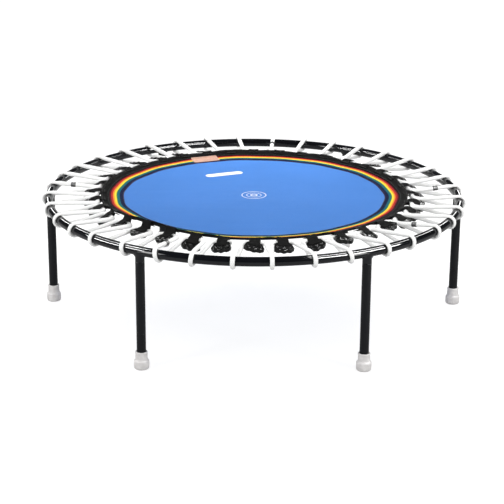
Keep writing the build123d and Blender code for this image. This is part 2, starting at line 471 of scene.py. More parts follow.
def webbing_look(name, level):
    """Black woven webbing: ribs along it, a herringbone across, dusty on its high threads."""
    look = Look(name)
    along, across = look.cloth_axes()
    zigzag = look.math("PINGPONG", across, 4 * MM)
    herring = look.wave(look.math("ADD", along, zigzag), 2.0 * MM)
    ribs = look.wave(across, 1.3 * MM)
    height = look.math("MULTIPLY_ADD", ribs, 0.4, look.times(herring, 0.6))
    dust = look.times(height, look.spread(look.noise(45, 5, 0.6), 0.05, 0.5))
    base = look.mix(dust, grey(level), grey(level * 4))
    return look.done(
        base,
        look.spread(height, 0.8, 0.65, 0, 1),
        look.bump(height, 0.0004, 0.8),
        Specular_IOR_Level=0.04,
    )


def label_look():
    look = Look("label_weave")
    along, across = look.cloth_axes()
    twill = look.wave(look.math("ADD", along, across), 1.2 * MM)
    base = look.mottle(60, 4, (0.4, 0.155, 0.08, 1), (0.55, 0.235, 0.13, 1))
    base = look.mix(look.times(twill, 0.25), base, (0.66, 0.36, 0.24, 1))
    return look.done(base, 0.62, look.bump(twill, 0.00025, 0.6), Sheen_Weight=0.2)


def rope_look():
    """White elastic cord: a braided sheath, with painted shade in its grooves."""
    look = Look("braided_cord")
    along, across = look.cloth_axes()
    turns = look.math("DIVIDE", across, 2 * pi * ROPE_R)
    left = look.math("MULTIPLY_ADD", turns, 8.0, look.math("DIVIDE", along, 8 * MM))
    right = look.math("MULTIPLY_ADD", turns, 8.0, look.math("DIVIDE", along, -8 * MM))
    carriers = look.math("MAXIMUM", look.wave(left, 1.0), look.wave(right, 1.0))
    # Painted shade: grey where the braid's carriers dip into grooves.
    groove_shade = look.spread(carriers, 0.55, 0.0, 0.5, 0.9)
    base = look.mix(groove_shade, grey(0.92, (1, 1, 0.99)), grey(0.6))
    soiled = look.spread(look.noise(26, 6, 0.65), 0, 0.22, 0.5, 0.8)
    base = look.mix(soiled, base, grey(0.6, (1, 0.98, 0.93)))
    return look.done(base, 0.6, look.bump(carriers, 0.00035, 0.55), Sheen_Weight=0.15)


def cleat_look():
    """Moulded black plastic: glossy, with rubbed patches and a faint texture."""
    look = Look("cleat_plastic")
    rub = look.spread(look.noise(220, 6, 0.7), 0, 0.22, 0.55, 0.75)
    base = look.mix(rub, grey(0.005), grey(0.03))
    return look.done(
        base,
        look.spread(look.noise(90, 5), 0.16, 0.34),
        look.bump(look.noise(700, 4), 0.00007, 0.5),
        Specular_IOR_Level=0.3,
    )


def thread_look(name, level, tint=(1, 1, 1)):
    look = Look(name)
    twist = look.noise(1400, 2)
    base = look.mix(look.spread(twist, 0, 1), grey(level * 0.7, tint), grey(level * 1.3, tint))
    return look.done(base, 0.6, look.bump(twist, 0.0001, 0.6), Sheen_Weight=0.2)


def print_look():
    """Pale ink on the mat, slightly worn, with the weave showing."""
    look = Look("printed_ink")
    x, y = look.axes(look.place())[:2]
    cloth = weave(look, x, y, WEAVE)
    worn = look.spread(look.noise(300, 6, 0.7), 0, 0.5, 0.55, 0.75)
    base = look.mix(worn, grey(0.86), (0.4, 0.55, 0.85, 1))
    return look.done(base, 0.5, look.bump(cloth, 0.0002, 0.5))


RING_PAINT = paint_look("ring_powder_coat", 0.08, 0.42, 0.1)
LEG_PAINT = paint_look("leg_powder_coat", 0.3, 0.26, 0.35)
STEEL = steel_look()
CRIMP_METAL = crimp_look()
RUBBER = rubber_look()
MAT_CLOTH = mat_look()
RIBBON_CLOTH = ribbon_look(BORDER_IN_R - FIELD_R)
BORDER_CLOTH = webbing_look("border_webbing", 0.0035)
STRAP_CLOTH = webbing_look("loop_webbing", 0.003)
LABEL_CLOTH = label_look()
ROPE_CLOTH = rope_look()
PLASTIC = cleat_look()
DARK_THREAD = thread_look("dark_thread", 0.008)
PALE_THREAD = thread_look("label_thread", 0.5, (1, 0.75, 0.6))
INK = print_look()


# ---- frame ring, sockets, legs, feet

def build_ring():
    rows, columns = 480, 40
    a, s = np.meshgrid(circle(rows), circle(columns), indexing="ij")
    r = RING_R + TUBE_R * np.cos(s)
    points = np.stack([r * np.cos(a), r * np.sin(a), RING_Z + TUBE_R * np.sin(s)], axis=2)
    along = steps(0, 2 * pi * RING_R, rows + 1)
    across = steps(0, 2 * pi * TUBE_R, columns + 1)
    shape = Shape()
    shape.grid(points, (True, True), along, across)
    hand_over(shape, "frame_ring", RING_PAINT, "frame", "frame_paint", "ring_tube")


def weld_profile(angle):
    """(radius, height) points up a stub and its weld onto the ring, in one direction from the leg's axis."""
    blend, rounding = 6 * MM, 5 * MM
    top = RING_Z - 3 * MM

    def parts(rho, z):
        x = RING_R + rho * cos(angle)
        y = rho * sin(angle)
        ring = hypot(hypot(x, y) - RING_R, z - RING_Z) - TUBE_R
        side, over = rho - TUBE_R + rounding, z - top + rounding
        outside = hypot(max(side, 0), max(over, 0))
        stub = outside + min(max(side, over), 0) - rounding
        return ring, stub

    def gap(rho, z):
        ring, stub = parts(rho, z)
        share = max(blend - abs(ring - stub), 0) / blend
        return min(ring, stub) - share ** 2 * blend / 4

    tiny = 0.01 * MM
    rho, z = TUBE_R, SOCKET_Z + MM
    traced = [(rho, z)]
    heading = Vector((0, 1))
    stride = 0.3 * MM
    for _ in range(160):
        rho, z = rho + heading.x * stride, z + heading.y * stride
        for _ in range(3):
            value = gap(rho, z)
            slope = Vector((gap(rho + tiny, z) - value, gap(rho, z + tiny) - value)) / tiny
            move = value / max(slope.length_squared, 1e-9)
            rho, z = rho - slope.x * move, z - slope.y * move
        flow = Vector((-slope.y, slope.x)).normalized()
        heading = flow if flow.dot(heading) > 0 else -flow
        traced.append((rho, z))
        ring, stub = parts(rho, z)
        if stub - ring > blend:
            break
    chosen = [traced[round(t)] for t in steps(0, len(traced) - 1, 26)]
    rho, z = chosen[-1]
    return chosen + [(rho - 0.6 * MM, z + 0.9 * MM)]


def build_sockets():
    """Stub, seam and welded fillet, as one skin that ends just inside the ring."""
    columns = 64
    low, bore = SOCKET_Z, TUBE_BORE_R
    below = [(bore, low + 9 * MM), (bore, low + 0.6 * MM), (bore + 0.4 * MM, low)]
    below += [(TUBE_R - 0.5 * MM, low), (TUBE_R - 0.1 * MM, low + 0.4 * MM)]
    angles = circle(columns)
    profiles = [below + weld_profile(a) for a in angles]
    rows = len(profiles[0])
    plain_rows = 12
    local = np.zeros((rows, columns, 3))
    for j, (a, profile) in enumerate(zip(angles, profiles)):
        for i, (rho, z) in enumerate(profile):
            up_weld = max(i - plain_rows, 0) / (rows - plain_rows)
            rippled = rho + 0.12 * MM * sin(14 * a) * sin(pi * up_weld)
            local[i, j] = (rippled * cos(a), rippled * sin(a), z)
    for n in LEGS:
        turn = np.array(Matrix.Rotation((n - 1) * pi / 3, 3, "Z"))
        shape = Shape()
        shape.grid(local @ turn.T + np.array(at_leg(n)), (True, True))
        hand_over(shape, f"leg_socket_{n}_weld", RING_PAINT, "frame", "frame_paint", f"leg_socket_{n}")


def build_leg(n):
    edge, low, high = 0.5 * MM, LEG_LOW.z, LEG_HIGH.z
    inner, outer = TUBE_BORE_R, TUBE_R
    tube = [(inner, low + edge), (inner + edge, low), (outer - edge, low), (outer, low + edge)]
    tube += [(outer, z) for z in steps(low + 4 * edge, high - 4 * edge, 24)]
    tube += [(outer, high - edge), (outer - edge, high), (inner + edge, high), (inner, high - edge)]
    shape = lathe(tube, 64, at_leg(n), closed=True)
    hand_over(shape, f"leg_{n}_tube", LEG_PAINT, f"leg_{n}", "leg_paint", f"leg_tube_{n}")


def build_stud(n):
    """Plug in the leg's top, with a stud that carries a real helical thread."""
    pitch, depth = 1.75 * MM, MM
    major = 6 * MM
    plug_r = TUBE_BORE_R - 0.05 * MM
    plug_top = LEG_HIGH.z
    angles = circle(48)
    plug = [(2 * MM, STUD_LOW.z), (plug_r - MM, STUD_LOW.z), (plug_r, STUD_LOW.z + MM)]
    plug += [(plug_r, plug_top - 0.6 * MM), (plug_r - 0.6 * MM, plug_top), (major + 0.4 * MM, plug_top)]
    rows = [[(r * cos(a), r * sin(a), z) for a in angles] for r, z in plug]
    for z in steps(plug_top, STUD_HIGH.z, 110):
        lead_in = min(1.0, (STUD_HIGH.z - z) / (1.5 * MM))
        row = []
        for a in angles:
            phase = (z / pitch - a / (2 * pi)) % 1
            crest = 1 - abs(2 * phase - 1)
            r = major - depth + depth * min(1, crest * 1.25) * lead_in
            row.append((r * cos(a), r * sin(a), z))
        rows.append(row)
    shape = Shape()
    shape.grid(np.array(rows) + np.array(at_leg(n)), (False, True), caps=True)
    hand_over(shape, f"leg_{n}_stud", STEEL, f"leg_{n}", "thread_steel", f"leg_stud_{n}")


def build_foot(n):
    """Rubber ferrule: rolled lip, narrow collar, wide base with a rounded tread."""
    # In millimetres, from the tread's middle outwards, up the outside and down the bore.
    base, high, collar, step = FOOT_R / MM, FOOT_HIGH.z / MM, 16.8, 27
    inner, floor = TUBE_R / MM + 0.05, 8
    outline = [
        (1.5, 0.8), (5, 0.8), (5.6, 0), (9.4, 0), (10, 0.8), (12.5, 0.8), (13.1, 0),
        (base - 4.2, 0), (base - 1.2, 1.4), (base - 0.3, 4.5), (base, 12),
        (base - 0.2, step - 4.4), (base - 1.6, step - 2.2),
        (collar + 0.3, step - 0.6), (collar - 0.3, step + 2),
        (collar - 0.7, high - 7), (collar - 0.7, high - 5), (collar, high - 4.2),
        (collar, high - 1.2), (collar - 0.9, high),
        (inner + 0.6, high), (inner, high - 1.2), (inner, floor), (1.5, floor),
    ]
    shape = lathe(soften([(r * MM, z * MM) for r, z in outline], 1.4 * MM), 72, at_leg(n))
    hand_over(shape, f"foot_{n}_ferrule", RUBBER, f"leg_{n}", "foot_rubber", f"foot_{n}")


# ---- mat, ribbon, border, label, print

def bump_at(angle, bearing, width):
    """A smooth hump: 1 at a bearing, 0 beyond half its width, both in degrees."""
    off = abs((degrees(angle) - bearing + 180) % 360 - 180)
    return cos(min(1.0, off / (width / 2)) * pi / 2) ** 2


def surface(r, angle):
    """Height of the mat's middle surface: flat field, rising rim, curling edge."""
    past = r - FIELD_R
    lift = (past + sqrt(past * past + RIM_ROUNDING ** 2)) / 2
    share = clamp(past / RIM_W, 1.1)
    border = clamp((r - BORDER_IN_R) / BORDER_W, 1.1)
    between = (1 - cos(STATIONS * angle)) / 2
    # These four are in millimetres.
    turned_up = 14 * bump_at(angle, 228, 76) + 4 * bump_at(angle, 285, 120)
    waves = 0.7 * sin(7 * angle + 0.6) + 0.5 * sin(13 * angle)
    sag = 0.5 * sin(2 * angle + 1) * (r / MAT_R) ** 2 * (1 - share)
    curl = 3 + 3.5 * between + 5.5 * bump_at(angle, 90, 170)
    curl += 2.6 * bump_at(angle, 270, 150) + 4 * bump_at(angle, 228, 70)
    curl += 1.2 * sin(5 * angle) + 1.2 * sin(17 * angle + 2)
    rise = (RISE + turned_up * MM) * lift / RIM_W
    return FIELD_Z + rise + (share * share * waves + border * border * curl + sag) * MM


def edge_radius(r, angle):
    """Radius once the rim is pulled in between the loops and made a little uneven."""
    share = max(0.0, (r - BORDER_IN_R) / BORDER_W)
    pulled = share * (0.9 * MM * cos(STATIONS * angle) - 0.9 * MM)
    uneven = min(1.0, r / FIELD_R) ** 8 * MM * (1.1 * cos(18 * angle + 0.5) + 0.7 * cos(11 * angle))
    return r + pulled + uneven


def on_mat(r, angle, offset):
    """Point at a height above the mat's middle surface."""
    rho = edge_radius(r, angle)
    return Vector((rho * cos(angle), rho * sin(angle), surface(rho, angle) + offset))


def add_layer(shape, profile, columns=720, caps=False, closed=True):
    """A layer that follows the mat, from a profile of (radius, height above it)."""
    points = [[on_mat(r, a, offset) for r, offset in profile] for a in circle(columns)]
    radii = np.array([r for r, offset in profile] + [profile[0][0]])
    along = steps(0, 2 * pi * max(radii), columns + 1)
    first = len(shape.points)
    shape.grid(points, (True, closed), along, radii - FIELD_R)
    if caps:
        for start in (first, first + len(profile) - 1):
            shape.face([start + j * len(profile) for j in range(columns)])


def build_mat():
    shape = Shape()
    edge = MAT_R - BORDER_T - 0.3 * MM
    radii = [2 * MM, *steps(20 * MM, FIELD_R - 12 * MM, 26), *steps(FIELD_R - 8 * MM, edge, 16)]
    top = [(r, MAT_T / 2) for r in radii]
    bottom = [(r, -MAT_T / 2) for r in reversed(radii)]
    add_layer(shape, top + bottom, 360, caps=True, closed=False)
    hand_over(shape, "mat_woven_sheet", MAT_CLOTH, "mat", "mat_fabric", "mat_sheet")


def build_ribbon():
    shape = Shape()
    low, high = RIBBON_TOP - RIBBON_T, RIBBON_TOP
    inner, outer = FIELD_R, BORDER_IN_R + 3 * MM
    top = [(inner + 0.2 * MM, high - 0.2 * MM), (inner + 0.6 * MM, high)]
    top += [(r, high) for r in steps(inner + 3 * MM, outer - MM, 14)]
    add_layer(shape, [(inner, low)] + top + [(outer, low)])
    hand_over(shape, "rainbow_ribbon_band", RIBBON_CLOTH, "mat", "ribbon_fabric", "rainbow_ribbon")


def build_border():
    """Webbing folded round the mat's edge, with a rounded fold and selvedge lips."""
    shape = Shape()
    low, high = BORDER_TOP - BORDER_T, BORDER_TOP
    start = BORDER_IN_R
    fold = MAT_R - 2.2 * MM
    top = [(start, RIBBON_TOP + 0.1 * MM), (start + 0.3 * MM, high + 0.9 * MM)]
    top += [(start + 2 * MM, high + MM), (start + 3.4 * MM, high + 0.5 * MM)]
    top += [(r, high) for r in steps(start + 6 * MM, fold, 10)]
    nose = [(fold + 2.0 * MM * sin(t), high * cos(t)) for t in steps(0.3, pi - 0.3, 9)]
    bottom = [(r, -high) for r in steps(fold, start, 10)]
    inside = [(start, -low), (fold - MM, -low), (fold - MM, low), (start + 3.4 * MM, low)]
    add_layer(shape, top + nose + bottom + inside)
    hand_over(shape, "edge_border_webbing", BORDER_CLOTH, "mat", "border_webbing", "mat_border")


def add_stitch(shape, a, b, width, height):
    """One stitch from a to b: a low rounded roof of thread that sinks at both ends."""
    run = (b - a).normalized()
    side = UP.cross(run).normalized() * (width / 2)
    sunk = -UP * (height * 0.6)
    m = (a + b) / 2
    quarter = (b - a) * 0.28
    points = [a + sunk, b + sunk]
    crown = UP * (height * 0.9)
    for centre in (m - quarter, m + quarter):
        points += [centre - side, centre - side * 0.5 + crown]
        points += [centre + side * 0.5 + crown, centre + side]
    faces = [
        (0, 2, 3), (0, 3, 4), (0, 4, 5),
        (2, 6, 7, 3), (3, 7, 8, 4), (4, 8, 9, 5),
        (1, 7, 6), (1, 8, 7), (1, 9, 8),
        (0, 5, 9, 1, 6, 2),
    ]
    shape.block(points, faces)


def add_round_row(shape, r, offset, pitch):
    """A row of stitches round the mat at one radius."""
    count = round(2 * pi * r / pitch)
    for a in circle(count):
        b = a + 0.72 * 2 * pi / count
        add_stitch(shape, on_mat(r, a, offset), on_mat(r, b, offset), 0.7 * MM, 0.4 * MM)


def build_rim_stitching():
    shape = Shape()
    add_round_row(shape, FIELD_R + 1.6 * MM, RIBBON_TOP, 3.6 * MM)
    add_round_row(shape, BORDER_IN_R + 4.6 * MM, BORDER_TOP + 0.25 * MM, 4.2 * MM)
    add_round_row(shape, MAT_R - 5 * MM, BORDER_TOP, 4.2 * MM)
    hand_over(shape, "rim_stitching", DARK_THREAD, "mat", "border_webbing")


def label_point(u, v, offset):
    """Point on the label: u outwards from its middle, v round the mat."""
    out = Vector((LABEL_SPOT.x, LABEL_SPOT.y, 0))
    radius = out.length
    out.normalize()
    across = Vector((-out.y, out.x, 0))
    flat = out * (radius - 4 * MM + u) + across * v
    r, angle = hypot(flat.x, flat.y), atan2(flat.y, flat.x)
    step_up = clamp((r - BORDER_IN_R + 6 * MM) / (8 * MM))
    base = RIBBON_TOP + 0.2 * MM + step_up * 1.9 * MM
    return Vector((flat.x, flat.y, surface(r, angle) + base + offset))


def build_label():
    """Blank patch, draped over the ribbon and the border's edge, with a stitched frame."""
    half_u, half_v = LABEL_HALF
    thick = 0.6 * MM
    rows, columns, ripple = 25, 41, 41
    us, vs = steps(-1, 1, rows), steps(-1, 1, columns)
    top, bottom = [], []
    for s in us:
        over, under = [], []
        for t in vs:
            reach = max(abs(s) ** 14, abs(t) ** 24)
            inset = 1 - 0.036 * abs(s) ** 8 * abs(t) ** 8
            u, v = s * half_u * inset, t * half_v * inset
            pucker = 0.16 * MM * sin(ripple * t) * abs(s) ** 3
            over.append(label_point(u, v, thick * (1 - 0.6 * reach) + pucker))
            under.append(label_point(u, v, 0))
        top.append(over)
        bottom.append(under)
    shape = Shape()
    along, across = np.append(us, 1) * half_u, np.append(vs, 1) * half_v
    shape.grid(top, along=along, across=across)
    shape.grid(bottom[::-1], along=along, across=across)
    last, end = rows - 1, columns - 1
    edge = [(i, 0) for i in range(last)] + [(last, j) for j in range(end)]
    edge += [(i, end) for i in range(last, 0, -1)] + [(0, j) for j in range(end, 0, -1)]
    shape.grid([[face[i][j] for i, j in edge] for face in (top, bottom)], (False, True))
    piece = hand_over(shape, "blank_label_patch", LABEL_CLOTH, "mat", "label_fabric", "sewn_label")
    turn_faces_out(piece.data, 0.02 * MM)

    seam = Shape()
    inset = 3 * MM
    u, v = half_u - inset, half_v - inset
    corners = [Vector(p) for p in ((-u, -v), (u, -v), (u, v), (-u, v), (-u, -v))]
    for start, end in zip(corners, corners[1:]):
        count = round((end - start).length / (3.2 * MM))
        for i in range(count):
            a, b = (label_point(*start.lerp(end, t / count), thick) for t in (i, i + 0.7))
            add_stitch(seam, a, b, 0.7 * MM, 0.35 * MM)
    hand_over(seam, "label_stitching", PALE_THREAD, "mat", "label_fabric")


def build_print():
    """Generic marks printed on the mat: a centre target of three thin rings, and one plain bar."""
    shape = Shape()
    sunk, ink = MAT_T / 2 - 0.1 * MM, MAT_T / 2 + 0.12 * MM
    for inner, outer in ((33.5 * MM, 36 * MM), (20 * MM, 22 * MM), (7 * MM, 11 * MM)):
        profile = [(inner, sunk), (inner + 0.2 * MM, ink), (outer - 0.2 * MM, ink), (outer, sunk)]
        add_layer(shape, profile, 144)
    centre = Vector((-0.09, 0.217))
    run = Vector((0.92, 0.39)).normalized()
    side = Vector((-run.y, run.x))
    half_length, half_height = 44 * MM, 15 * MM
    rows = []
    for shrink, height in ((1.0, sunk), (0.985, ink), (0.5, ink)):
        row = []
        for a in circle(48):
            u = copysign(half_length, cos(a)) + half_height * shrink * cos(a)
            flat = centre + run * u + side * (half_height * shrink * sin(a))
            row.append((flat.x, flat.y, surface(flat.length, atan2(flat.y, flat.x)) + height))
        rows.append(row)
    shape.grid(rows, (False, True), caps=True)
    hand_over(shape, "mat_print_marks", INK, "mat", "mat_fabric")


# ---- cleats and webbing loops

# How far each cleat and each wrap strays from even spacing.
STATION_SHIFT = [{
    "out": uniform(-1, 4.5) * MM,
    "along": uniform(-3, 3) * MM,
    "yaw": radians(uniform(-6, 6)),
    "tip": radians(uniform(-11, 13)),
    "droop": radians(uniform(4, 33)),
} for k in range(STATIONS)]
WRAP_SHIFT = [{
    "turn": radians(uniform(-0.8, 0.8)),
    "slant": uniform(-3.5, 4.5) * MM,
} for k in range(STATIONS)]


def station(k, tilt=0.0):
    """Carries a shape built at angle 0 to cleat k. Tilt 1 adds the cleat's full droop and tip."""
    shift = STATION_SHIFT[k % STATIONS]
    moved = Matrix.Translation((RUN_R + shift["out"], shift["along"], LACE_Z))
    moved = turned(moved, (shift["yaw"], "Z"), (shift["droop"] * tilt, "Y"), (shift["tip"] * tilt, "X"))
    return Matrix.Rotation(k * PITCH, 4, "Z") @ moved @ Matrix.Translation((-RUN_R, 0, -LACE_Z))


def cleat_mesh():
    """Bevelled plate with a slot, flaring to a three-lobed nose."""
    curve = bpy.data.curves.new("cleat_outline", "CURVE")
    curve.dimensions = "2D"
    curve.fill_mode = "BOTH"
    bevel = 1.6 * MM
    curve.bevel_depth = bevel
    curve.bevel_resolution = 3
    curve.extrude = CLEAT_T / 2 - bevel
    shoulder = CLEAT_OUT_R - 12 * MM
    half = CLEAT_HALF - bevel
    inner = CLEAT_IN_R + bevel
    corner = 6 * MM
    depth = CLEAT_OUT_R - bevel - shoulder
    outline = []
    for side in (-1, 1):
        centre = Vector((inner + corner, side * (half - corner)))
        start = pi * 1.5 if side < 0 else pi
        for t in steps(0, pi / 2, 7):
            outline.append((centre.x + corner * cos(start - t), centre.y + corner * sin(start - t)))
    for share in steps(1, -1, 41):
        room = 1 - share ** 2
        bulge = depth * (0.85 * room ** 0.6 + 0.15 * room ** 0.3 * cos(3 * pi * share))
        outline.append((shoulder + bulge, share * (half + CLEAT_FLARE)))
    slot_half, slot_w = 17 * MM, 2.2 * MM
    slot = []
    for a in circle(24):
        end = copysign(slot_half - slot_w, sin(a))
        slot.append((SLOT_R + slot_w * cos(a), end + slot_w * sin(a)))
    for loop in (outline, slot):
        spline = curve.splines.new("POLY")
        spline.points.add(len(loop) - 1)
        for point, (x, y) in zip(spline.points, loop):
            point.co = (x, y, 0, 1)
        spline.use_cyclic_u = True
    holder = link("cleat_outline", curve)
    graph = bpy.context.evaluated_depsgraph_get()
    mesh = bpy.data.meshes.new_from_object(holder.evaluated_get(graph))
    bpy.data.objects.remove(holder)
    return mesh


def squarish(value):
    """Turns the sine or cosine of a circle into that of a squarer loop."""
    return copysign(abs(value) ** 0.7, value)


def add_rib(shape, centre, half_x, half_y, height):
    """A low rounded bar on both faces of a cleat."""
    for face in (-1, 1):
        rows = []
        for ring in steps(1, 0.12, 6):
            z = face * (CLEAT_T / 2 - 0.4 * MM + height * sqrt(max(0, 1 - ring ** 3)))
            x, y = half_x * ring, half_y * ring
            rows.append([
                (centre.x + x * squarish(cos(a)), centre.y + y * squarish(sin(a)), z) for a in circle(20)
            ])
        shape.grid(rows, (False, True), caps=True)


def build_cleats():
    """All cleats as one piece: the plate and its ribs, copied to each station."""
    plate = cleat_mesh()
    ribs = Shape()
    for side in (-1, 0, 1):
        nose = 481.5 * MM - abs(side) * 2.5 * MM
        add_rib(ribs, Vector((nose, side * 16 * MM)), 4.6 * MM, 3.4 * MM, 2.8 * MM)
    add_rib(ribs, Vector((463.5 * MM, 0)), 2.2 * MM, 15 * MM, 1.2 * MM)
    shape = Shape()
    flat = [v.co.copy() for v in plate.vertices]
    faces = [tuple(p.vertices) for p in plate.polygons]
    for k in range(STATIONS):
        place = station(k, 1.0) @ Matrix.Translation((0, 0, LACE_Z))
        shape.block([place @ p for p in flat], faces)
        shape.block([place @ Vector(p) for p in ribs.points], ribs.faces)
    hand_over(shape, "rope_cleat_set", PLASTIC, "mat", "cleat_plastic", "rope_cleats")


def corner_cut(points, times):
    """Smooths an open run of points by cutting its corners."""
    for _ in range(times):
        done = [points[0]]
        for a, b in zip(points, points[1:]):
            done += [a * 0.75 + b * 0.25, a * 0.25 + b * 0.75]
        points = done + [points[-1]]
    return points


def strap_path(angle):
    """Middle line of one bearing's loop, laid along X: over the rope, down the slot, back below."""
    over = max(ROPE_R, CLEAT_T / 2) + 0.3 * MM + STRAP_T / 2
    flat = STRAP_LOW + STRAP_T / 2
    bends = [
        (RUN_R - 4 * MM, over + 0.6 * MM),
        (RUN_R + 4 * MM, over + 0.6 * MM),
        (SLOT_R - 4 * MM, over + 0.3 * MM),
        (SLOT_R, over * 0.8),
    ]
    path = []
    for side in (1, -1):
        sewn = steps(MAT_R - 16 * MM, MAT_R - MM, 4)
        leg = [Vector((x, 0, surface(x, angle) + side * flat)) for x in sewn]
        leg += [Vector((x, 0, LACE_Z + side * z)) for x, z in bends]
        path += leg[::side]
    return corner_cut(path, 3)


def drape(k, x, y):
    """Height that a strap's edge gains where it lies on the curling border."""
    hold = clamp((RUN_R - 2 * MM - x) / (8 * MM))
    bearing = k * PITCH
    beside = bearing + (y + STATION_SHIFT[k]["along"]) / x
    return hold * (surface(x, beside) - surface(x, bearing))


def build_loops():
    half_w, half_t = STRAP_W / 2, STRAP_T / 2
    section = [(y * half_w, half_t * (1 - 0.55 * abs(y) ** 10)) for y in steps(-1, 1, 9)]
    section += [(y, -t) for y, t in reversed(section)]
    across = [y + half_w for y, t in section + section[:1]]
    shape = Shape()
    seams = Shape()
    for k in range(STATIONS):
        path = strap_path(k * PITCH)
        rows = []
        for point, ahead in zip(path, headings(path)):
            normal = Vector((-ahead.z, 0, ahead.x))
            place = station(k, clamp((point.x - RUN_R + 5 * MM) / (12 * MM)))
            edges = [Vector((0, y, drape(k, point.x, y))) for y, t in section]
            rows.append([place @ (point + normal * t + edge) for edge, (y, t) in zip(edges, section)])
        shape.grid(rows, (False, True), path_lengths(path), across, caps=True)
        add_bar_tacks(seams, k)
    hand_over(shape, "webbing_loop_set", STRAP_CLOTH, "mat", "loop_webbing", "webbing_loops")
    hand_over(seams, "loop_stitching", DARK_THREAD, "mat", "loop_webbing")


def add_bar_tacks(shape, k):
    """Two bars of short stitches that sew the strap to the border."""
    top = STRAP_LOW + STRAP_T
    place = station(k)
    for r in (MAT_R - 12 * MM, MAT_R - 5 * MM):
        for y in steps(-12.5, 12.5, 11) * MM:
            z = surface(r, k * PITCH) + top + drape(k, r, y)
            a = place @ Vector((r - 1.1 * MM, y - 0.7 * MM, z))
            b = place @ Vector((r + 1.1 * MM, y + 0.7 * MM, z))
            add_stitch(shape, a, b, 0.8 * MM, 0.35 * MM)


# ---- elastic rope

def run_point(k, share):
    """Point of the rope's run on cleat k: share -1 and 1 are its corners, 0 its middle."""
    return station(k) @ Vector((RUN_R, share * RUN_HALF, LACE_Z))


def tube_corner(k, corner, side):
    """Where the strand from a cleat corner meets the wrap's outer tangent. Side -1 goes over, 1 below."""
    angle = (k + 0.5) * PITCH + WRAP_SHIFT[k]["turn"]
    local = Matrix.Rotation(-angle, 3, "Z") @ corner
    reach, fall = RING_R - local.x, RING_Z - local.z
    slope = atan2(fall, reach) - side * asin(WRAP_R / hypot(reach, fall))
    x = RING_R + WRAP_R
    spot = Vector((x, side * WRAP_SHIFT[k]["slant"], local.z + tan(slope) * (x - local.x)))
    return Matrix.Rotation(angle, 3, "Z") @ spot


def walk(points, target, step):
    """Adds evenly spaced points on the line to target."""
    start = points[-1]
    count = max(1, ceil((target - start).length / step))
    for i in range(1, count + 1):
        points.append(start.lerp(target, i / count))


def rounded_path(corners, bends, step):
    """Points along the corners, with an arc of the given radius at each inner one."""
    points = [corners[0]]
    for before, corner, after, bend in zip(corners, corners[1:], corners[2:], bends):
        way_in = (corner - before).normalized()
        way_out = (after - corner).normalized()
        half_turn = way_in.angle(way_out) / 2
        start = corner - way_in * (bend * tan(half_turn))
        centre = corner + (way_out - way_in).normalized() * (bend / cos(half_turn))
        walk(points, start, step)
        axis = way_in.cross(way_out).normalized()
        count = max(6, ceil(2 * half_turn * bend / step))
        for i in range(1, count + 1):
            points.append(centre + Matrix.Rotation(2 * half_turn * i / count, 3, axis) @ (start - centre))
    walk(points, corners[-1], step)
    return points


def wrap_corners(k):
    """Corners of the rope from the middle of cleat k, round the tube, to that of cleat k + 1."""
    near, far = run_point(k, 1), run_point(k + 1, -1)
    return [run_point(k, 0), near, tube_corner(k, near, -1), tube_corner(k, far, 1), far, run_point(k + 1, 0)]


def pressed(point, offset):
    """Flattens the rope's section towards the tube where the rope bears on it."""
    angle = atan2(point.y, point.x)
    toward = Vector((RING_R * cos(angle), RING_R * sin(angle), RING_Z)) - point
    near = clamp((1.55 * WRAP_R - toward.length) / (0.5 * WRAP_R))
    toward.normalize()
    return offset - toward * (offset.dot(toward) * ROPE_PRESS * near * near * (3 - 2 * near))


def rope_points(path, columns):
    """Rings of points round the rope's path, with a frame that doesn't twist."""
    rows = []
    normal = (path[1] - path[0]).orthogonal()
    for point, tangent, length in zip(path, headings(path), path_lengths(path)):
        normal = (normal - tangent * normal.dot(tangent)).normalized()
        other = tangent.cross(normal)
        row = []
        for a in circle(columns):
            offset = (normal * cos(a) + other * sin(a)) * cord_radius(length, a)
            row.append(point + pressed(point, offset))
        rows.append(row)
    return rows


def cord_radius(length, angle):
    """Rope radius: the sheath's crossing carriers stand slightly proud."""
    turn = 2 * pi * length / (15 * MM)
    crossing = cos(6 * angle + turn) * cos(6 * angle - turn)
    swell = 0.012 * sin(length * 61) + 0.008 * sin(length * 143 + 1)
    return ROPE_R * (0.985 + 0.02 * crossing + swell)


def across_joint(piece, node):
    """Bakes a finished rope piece's placement into its mesh, in place of its CAD node."""
    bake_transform(piece)
    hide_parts(node)


def build_rope():
    """One piece of rope for each wrap, cut at the middle of each cleat."""
    columns = 24
    bends = [CORNER_R, WRAP_BEND_R, WRAP_BEND_R, CORNER_R]
    across = steps(0, 2 * pi * ROPE_R, columns + 1)
    for k in range(STATIONS):
        path = rounded_path(wrap_corners(k), bends, 2.2 * MM)
        shape = Shape()
        shape.grid(rope_points(path, columns), (False, True), path_lengths(path), across, caps=True)
        piece = shape.build(f"rope_wrap_{k + 1:02d}", ROPE_CLOTH)
        length_number = sum(1 for start in ROPE_JOINS if start <= k)
        across_joint(piece, f"elastic_rope_{length_number}")


